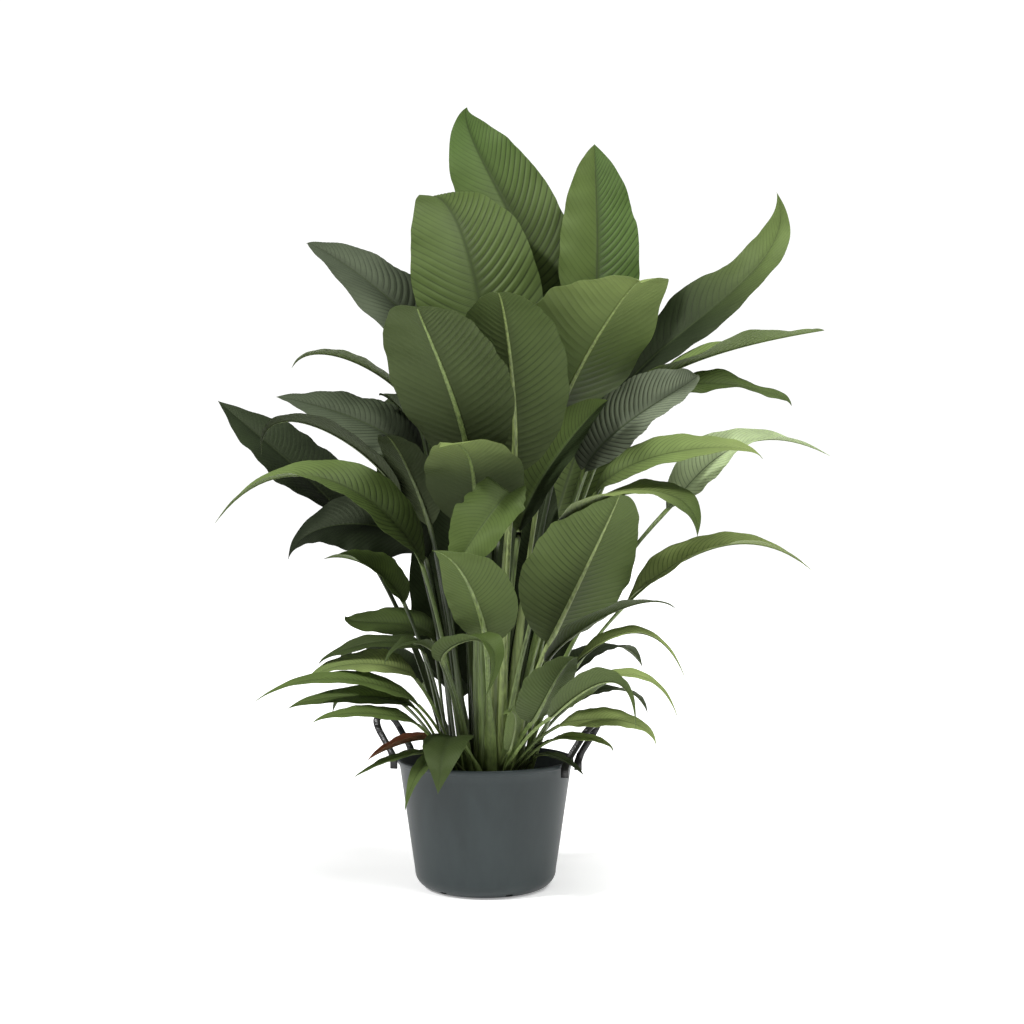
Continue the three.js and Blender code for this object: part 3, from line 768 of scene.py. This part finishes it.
def stalk_material(name):
    """Stalk: fibres along its length, pale at the foot where the sheath keeps off the light."""
    look, nodes, links, shader = new_look(name, {"Roughness": 0.4})
    tint = add_attribute(nodes, "tint")
    place = nodes.new("ShaderNodeTexCoord")
    fibres = add_node(nodes, "Mapping", {"Scale": (240, 240, 8)})
    streaks = add_node(nodes, "TexNoise", {"Scale": 1, "Detail": 4})
    links.new(place.outputs["Object"], fibres.inputs["Vector"])
    links.new(fibres.outputs["Vector"], streaks.inputs["Vector"])
    shade = add_ramp(nodes, (0.3, (0.55, 0.55, 0.55)), (0.7, (1.3, 1.3, 1.3)))
    links.new(streaks.outputs["Fac"], shade.inputs["Fac"])
    toned = add_mix(nodes, "MULTIPLY", {"Factor": 1})
    links.new(tint.outputs["Color"], toned.inputs["A"])
    links.new(shade.outputs["Color"], toned.inputs["B"])

    # The lowest part, in the sheath, is yellower.
    split = nodes.new("ShaderNodeSeparateXYZ")
    links.new(place.outputs["Object"], split.inputs["Vector"])
    low = add_node(nodes, "MapRange", {"From Min": 0.2, "From Max": 0.5, "To Min": 0.22,
                                       "To Max": 0.0})
    links.new(split.outputs["Z"], low.inputs["Value"])
    pale = add_mix(nodes, "MIX", {"B": (0.2, 0.26, 0.08, 1)})
    links.new(low.outputs["Result"], pale.inputs["Factor"])
    links.new(toned.outputs["Result"], pale.inputs["A"])
    links.new(pale.outputs["Result"], shader.inputs["Base Color"])
    add_bump(nodes, links, streaks.outputs["Fac"], 0.4, 0.0006)
    return look


leaf_green = leaf_material("leaf_green", sheen=0.42, translucence=0.14)
stalk_green = stalk_material("stalk_green")


def grow_group(leaves):
    """Grows each leaf of a table in place of the CAD leaf with its number."""
    for number, leaf in leaves.items():
        grow_leaf(f"lily_leaf_{number:02d}", leaf, [f"leaf_{number:02d}"])


# foot is where the stalk stands, from the pot's axis. neck, mid and tip are on the
# midrib, with heights measured up from the crown. face is the compass angle that the
# leaf leans to, roll turns the blade about its midrib at the neck and at the tip, fold
# lifts both halves into a V, and wave is how far the margins ripple. sheath is how far
# the foot of the stalk opens, and ragged is how deep the small tears at the margin are.
# pleat and halves, the depth of the pleats and the share of the full width, have one
# value for the half on the clockwise side of face, seen from above, and one for the
# other half. clockwise_shade_tone paints shade on that first half alone, and tip_tone
# colours the far end, lighter or darker as light falls on it. tone, tip_tone and
# clockwise_shade_tone hold painted light and shade as well as the leaf's own green.
TALL_LEAVES = {
    1: dict(foot=(20, 26), neck=(105, 70, 810), mid=(32, 138, 1080), tip=(-40, 175, 1275),
             width=185, face=82, fold=10, ragged=0.025, tone="mid", tip_tone="vivid",
             pleat=(1.7, 0.4), stalk_tone="dark"),
    2: dict(foot=(38, 26), neck=(180, 50, 735), mid=(210, 90, 995), tip=(207, 125, 1188),
             width=165, face=95, fold=22, ragged=0.03, tone="fresh", clockwise_shade_tone="vivid",
             pleat=(1.7, 0.15), stalk_tone="dark"),
    3: dict(foot=(2, 8), neck=(10, 0, 650), mid=(-30, 30, 945), tip=(-130, 190, 1090),
             width=235, face=88, fold=8, tone="mid", pleat=(1.9, 0.7)),
    4: dict(foot=(-10, -20), neck=(-24, -110, 536), mid=(-72, -235, 720), tip=(-98, -370, 789),
             width=212, face=-105, fold=8, sheath=1.6, tone="dusk", pleat=(0.4, 2.2),
             stalk_tone="light"),
    5: dict(foot=(14, -30), neck=(50, -110, 540), mid=(45, -185, 735), tip=(25, -360, 815),
             width=195, face=-90, fold=6, sheath=1.6, tone="mid", pleat=(1.1, 1.5),
             stalk_tone="pale"),
    6: dict(foot=(42, -6), neck=(112, -45, 590), mid=(200, -120, 785), tip=(258, -300, 842),
             width=290, face=-60, fold=14, sheath=1.6, tone="fresh", tip_tone="pale",
             pleat=(0.35, 0.35), stalk_tone="pale"),
    7: dict(foot=(56, 14), neck=(235, 66, 674), mid=(442, 92, 876), tip=(552, 96, 1088),
             width=150, face=55, fold=14, wave=8, ragged=0.03, tone="deep", tip_tone="light",
             pleat=(0.5, 0.5), stalk_tone="light"),
    8: dict(foot=(62, 0), neck=(238, -10, 648), mid=(440, -14, 770), tip=(618, -12, 808),
             width=88, face=8, fold=24, wave=7, tone="light", stalk_tone="light"),
    9: dict(foot=(68, -14), neck=(285, -30, 668), mid=(430, -45, 705), tip=(548, -60, 665),
             width=85, face=0, roll=(30, 25), wave=7, ragged=0.05, tone="mid", stalk_tone="light"),
    10: dict(foot=(54, -22), neck=(175, -72, 547), mid=(288, -100, 657), tip=(372, -122, 714),
             width=178, face=45, fold=14, tone="grey", pleat=(1.8, 1.8), stalk_tone="fresh"),
}
grow_group(TALL_LEAVES)


# ------------------------------------------------------------------ leaves on the right
# Leaves that arch out over the right of the pot, from long ones at half height down to
# small ones over the rim. They grow from the crown as the tall ones do.
RIGHT_LEAVES = {
    11: dict(foot=(44, -36), neck=(190, -166, 504), mid=(335, -225, 575), tip=(465, -235, 560),
             width=105, face=10, roll=(30, 20), tone="light", tip_tone="pale", stalk_tone="light"),
    12: dict(foot=(66, -28), neck=(320, -95, 478), mid=(418, -125, 577), tip=(594, -160, 570),
             width=110, face=25, roll=(25, 10), fold=16, ragged=0.04, tone="lit_sheen",
             stalk_tone="light"),
    13: dict(foot=(30, -50), neck=(130, -190, 440), mid=(255, -240, 505), tip=(352, -265, 430),
             width=124, face=-25, roll=(0, 25), tone="pale", tip_tone="mid", stalk_tone="light"),
    14: dict(foot=(46, -50), neck=(112, -125, 245), mid=(182, -180, 395), tip=(225, -265, 500),
             width=215, face=-65, fold=10, sheath=1.6, tone="fresh", pleat=(1.4, 0.8),
             stalk_tone="pale"),
    15: dict(foot=(80, -16), neck=(250, -95, 315), mid=(390, -105, 408), tip=(572, -125, 370),
             width=95, face=5, roll=(25, 5), fold=20, tone="pale",
             stalk_tone="light"),
    16: dict(foot=(58, -44), neck=(108, -185, 220), mid=(205, -205, 298), tip=(322, -220, 310),
             width=95, face=-15, roll=(-15, 0), tone="dusk", stalk_tone="dark"),
    17: dict(foot=(68, -40), neck=(155, -195, 216), mid=(235, -212, 268), tip=(338, -225, 192),
             width=50, face=0, roll=(15, 10), fold=16, tone="pale"),
    18: dict(foot=(60, -60), neck=(158, -212, 172), mid=(235, -235, 202), tip=(322, -250, 130),
             width=45, face=-5, roll=(15, 15), fold=10, tone="pale"),
    19: dict(foot=(32, -77), neck=(112, -280, 138), mid=(185, -285, 190), tip=(248, -300, 122),
             width=75, face=-20, roll=(-25, -30), fold=16, tone="mid", stalk_tone="light"),
    20: dict(foot=(42, -72), neck=(125, -215, 115), mid=(210, -235, 128), tip=(285, -255, 88),
             width=62, face=-5, roll=(25, 20), fold=8, tone="pale"),
    21: dict(foot=(50, -67), neck=(115, -190, 88), mid=(170, -200, 92), tip=(218, -210, 70),
             width=34, face=-5, roll=(15, 15), fold=10, tone="pale"),
    22: dict(foot=(36, -61), neck=(82, -190, 118), mid=(116, -232, 185), tip=(156, -260, 232),
             width=110, face=-55, fold=10, tone="mid", stalk_tone="fresh"),
    23: dict(foot=(24, -74), neck=(42, -135, 58), mid=(54, -160, 110), tip=(30, -185, 128),
             width=36, face=-60, fold=24, tone="light"),
    24: dict(foot=(64, -50), neck=(90, -84, 44), mid=(128, -114, 46), tip=(172, -146, 20),
             width=42, face=-25, fold=10, tone="dark"),
    25: dict(foot=(78, -30), neck=(88, -45, 50), mid=(114, -55, 66), tip=(138, -63, 74),
             width=40, face=-25, fold=8, tone="dark"),
}
grow_group(RIGHT_LEAVES)


# ------------------------------------------------------------------ leaves among the stalks
# Four leaves at half height between the tall stalks. One hangs with a ragged margin, one
# is folded deep, and two stand in shade. The dark tones of those two are painted shade,
# with painted light on the tip of leaf 27, and the folded leaf has painted shade on one half.
MIDDLE_LEAVES = {
    26: dict(foot=(28, -36), neck=(48, -190, 500), mid=(2, -232, 455), tip=(-46, -236, 380),
             width=112, face=-100, fold=18, wave=9, ragged=0.09, tone="mid", tip_tone="fresh",
             pleat=(0.3, 0.3), stalk_tone="pale"),
    27: dict(foot=(-2, -46), neck=(-15, -105, 440), mid=(-20, -175, 548), tip=(-70, -300, 575),
             width=175, face=-95, fold=6, tone="dark", tip_tone="pale", pleat=(0.25, 0.25),
             stalk_tone="fresh"),
    28: dict(foot=(26, -12), neck=(60, -50, 440), mid=(135, -75, 585), tip=(218, -90, 672),
             width=120, face=60, fold=34, tone="fresh", clockwise_shade_tone="deep", stalk_tone="light"),
    29: dict(foot=(-34, -14), neck=(-100, -40, 450), mid=(-140, -90, 560), tip=(-170, -190, 600),
             width=100, face=-120, fold=8, tone="black", stalk_tone="dark"),
}
grow_group(MIDDLE_LEAVES)


# ------------------------------------------------------------------ leaves on the left
# Leaves that arch out over the left and the front of the pot, long ones at the top and
# small ones over the rim. They grow from the crown as the tall ones do. Leaf 47 has died
# back, so it is brown and dry.
LEFT_LEAVES = {
    30: dict(foot=(-64, 34), neck=(-285, 135, 480), mid=(-400, 165, 590), tip=(-528, 180, 698),
             width=195, face=135, fold=10, tone="deep", stalk_tone="dark"),
    31: dict(foot=(-42, 12), neck=(-125, 5, 555), mid=(-250, 15, 652), tip=(-388, 25, 690),
             width=150, face=160, roll=(-35, -20), ragged=0.04, tone="slate", pleat=(1.3, 0.8),
             stalk_tone="dark"),
    32: dict(foot=(-50, -2), neck=(-150, -36, 494), mid=(-292, -58, 624), tip=(-400, -62, 573),
             width=85, face=190, fold=22, tone="black", stalk_tone="dark"),
    33: dict(foot=(-40, -32), neck=(-108, -110, 380), mid=(-250, -140, 522), tip=(-462, -155, 455),
             width=130, face=170, roll=(-35, -10), fold=16, ragged=0.04, tone="mid",
             tip_tone="light", pleat=(1.0, 1.2), stalk_tone="fresh"),
    34: dict(foot=(-58, 18), neck=(-110, 20, 390), mid=(-235, 35, 455), tip=(-368, 45, 390),
             width=165, face=165, roll=(-50, -40), tone="black", stalk_tone="dark"),
    35: dict(foot=(-66, -14), neck=(-145, -45, 312), mid=(-200, -62, 374), tip=(-285, -78, 392),
             width=95, face=150, fold=20, tone="fresh", stalk_tone="dark"),
    36: dict(foot=(-38, 30), neck=(-120, 85, 640), mid=(-235, 80, 755), tip=(-368, 80, 750),
             width=95, face=178, roll=(8, 0), fold=10, tone="light"),
    37: dict(foot=(-22, 24), neck=(-60, 50, 690), mid=(-200, 90, 895), tip=(-347, 120, 995),
             width=185, face=122, fold=10, tone="slate", pleat=(1.6, 0.7), stalk_tone="dark"),
    38: dict(foot=(-18, 2), neck=(-58, 0, 515), mid=(-128, 12, 638), tip=(-198, 30, 693),
             width=95, face=150, fold=22, tone="slate", pleat=(1.8, 1.8)),
    39: dict(foot=(10, -62), neck=(5, -195, 248), mid=(-20, -240, 343), tip=(-80, -315, 408),
             width=138, face=-100, fold=8, sheath=1.6, halves=(0.75, 1.0), tone="fresh",
             pleat=(0.4, 0.6), stalk_tone="light"),
    40: dict(foot=(-22, -62), neck=(-68, -205, 222), mid=(-12, -262, 262), tip=(2, -280, 165),
             width=75, face=-40, fold=18, tone="mid"),
    41: dict(foot=(-70, 4), neck=(-95, 10, 240), mid=(-180, 20, 272), tip=(-260, 30, 285),
             width=92, face=170, roll=(-30, -30), fold=8, tone="mid", stalk_tone="dark"),
    42: dict(foot=(-60, -30), neck=(-105, -95, 225), mid=(-195, -105, 245), tip=(-290, -115, 208),
             width=48, face=180, roll=(-25, -30), wave=3, tone="dusk", stalk_tone="dark"),
    43: dict(foot=(-50, -38), neck=(-118, -112, 182), mid=(-208, -124, 210), tip=(-310, -132, 180),
             width=90, face=185, roll=(-25, -15), fold=10, tone="pale", tip_tone="light",
             stalk_tone="fresh"),
    44: dict(foot=(-48, -52), neck=(-112, -140, 140), mid=(-228, -175, 187), tip=(-390, -190, 150),
             width=62, face=185, roll=(-20, -15), fold=10, tone="fresh", stalk_tone="fresh"),
    45: dict(foot=(-62, -46), neck=(-118, -125, 132), mid=(-222, -132, 155), tip=(-338, -150, 135),
             width=60, face=185, roll=(-25, -25), fold=8, tone="fresh", stalk_tone="fresh"),
    46: dict(foot=(-58, -58), neck=(-112, -152, 108), mid=(-195, -198, 133), tip=(-288, -205, 118),
             width=52, face=190, roll=(-20, -15), fold=10, tone="fresh", stalk_tone="fresh"),
    47: dict(foot=(-78, -28), neck=(-92, -58, 64), mid=(-142, -84, 68), tip=(-205, -102, 40),
             width=46, face=200, fold=30, tone="brown"),
    48: dict(foot=(-72, -42), neck=(-95, -88, 48), mid=(-152, -116, 46), tip=(-226, -134, 15),
             width=54, face=200, fold=8, tone="fresh"),
    49: dict(foot=(-8, -80), neck=(-38, -98, 68), mid=(-64, -180, 78), tip=(-76, -212, 0),
             width=84, face=-105, fold=6, tone="dusk", stalk_tone="fresh"),
    50: dict(foot=(-30, -76), neck=(-62, -120, 48), mid=(-98, -162, 45), tip=(-134, -178, -36),
             width=44, face=-130, fold=10, tone="mid"),
    51: dict(foot=(-32, -50), neck=(-75, -130, 215), mid=(-115, -165, 250), tip=(-168, -195, 215),
             width=60, face=215, wave=5, tone="dusk"),
}
grow_group(LEFT_LEAVES)


# ------------------------------------------------------------------ leaves at the back
# Broad leaves that lean away to the back, so that the clump is full all round. They
# grow from the crown as the tall ones do.
BACK_LEAVES = {
    52: dict(foot=(-42, 50), neck=(-110, 130, 400), mid=(-140, 230, 620), tip=(-190, 340, 720),
             width=190, face=112, tone="dark", stalk_tone="dark"),
    53: dict(foot=(8, 54), neck=(20, 120, 420), mid=(10, 200, 640), tip=(-20, 330, 760),
             width=205, face=92, tone="light", stalk_tone="dark"),
    54: dict(foot=(46, 46), neck=(120, 110, 430), mid=(190, 190, 640), tip=(260, 310, 740),
             width=195, face=68, tone="light", stalk_tone="dark"),
    55: dict(foot=(14, 72), neck=(40, 190, 210), mid=(60, 310, 320), tip=(90, 440, 300),
             width=130, face=80, tone="mid", stalk_tone="dark"),
}
grow_group(BACK_LEAVES)


# ------------------------------------------------------------------ small leaves behind
# Short shaded leaves that fill the middle of the clump and its back, as young and low
# leaves do. They grow from the same crown. Their deep and dark tones are painted shade.
SHADED_LEAVES = [
    dict(foot=(-30, 30), neck=(-60, 70, 150), mid=(-95, 110, 330), tip=(-130, 130, 470),
         width=120, face=110, tone="deep"),
    dict(foot=(0, 40), neck=(-10, 90, 130), mid=(-20, 130, 330), tip=(-45, 150, 480),
         width=130, face=95, tone="deep"),
    dict(foot=(24, 40), neck=(40, 90, 150), mid=(55, 130, 340), tip=(60, 160, 490),
         width=130, face=85, tone="deep"),
    dict(foot=(44, 30), neck=(85, 60, 160), mid=(130, 95, 330), tip=(165, 120, 470),
         width=120, face=70, tone="deep"),
    dict(foot=(-12, 14), neck=(-25, 40, 260), mid=(-60, 60, 430), tip=(-80, 80, 570),
         width=110, face=100, tone="deep"),
    dict(foot=(20, 16), neck=(50, 40, 270), mid=(85, 60, 430), tip=(105, 80, 580),
         width=110, face=80, tone="deep"),
    dict(foot=(-50, 44), neck=(-120, 130, 150), mid=(-210, 200, 210), tip=(-300, 260, 170),
         width=90, face=140, tone="dark"),
    dict(foot=(56, 44), neck=(130, 130, 150), mid=(220, 200, 210), tip=(310, 260, 170),
         width=90, face=40, tone="dark"),
    dict(foot=(-24, 64), neck=(-50, 170, 120), mid=(-90, 260, 170), tip=(-130, 340, 120),
         width=85, face=110, tone="dark"),
    dict(foot=(66, 20), neck=(150, 80, 110), mid=(235, 120, 140), tip=(310, 150, 90),
         width=75, face=25, tone="dark"),
    dict(foot=(-68, 24), neck=(-150, 90, 110), mid=(-230, 130, 140), tip=(-300, 160, 90),
         width=75, face=155, tone="dark"),
    dict(foot=(0, 74), neck=(0, 170, 70), mid=(-5, 240, 90), tip=(-10, 310, 50),
         width=70, face=90, tone="dark"),
]
for number, leaf in enumerate(SHADED_LEAVES, 1):
    grow_leaf(f"shaded_leaf_{number:02d}", leaf)
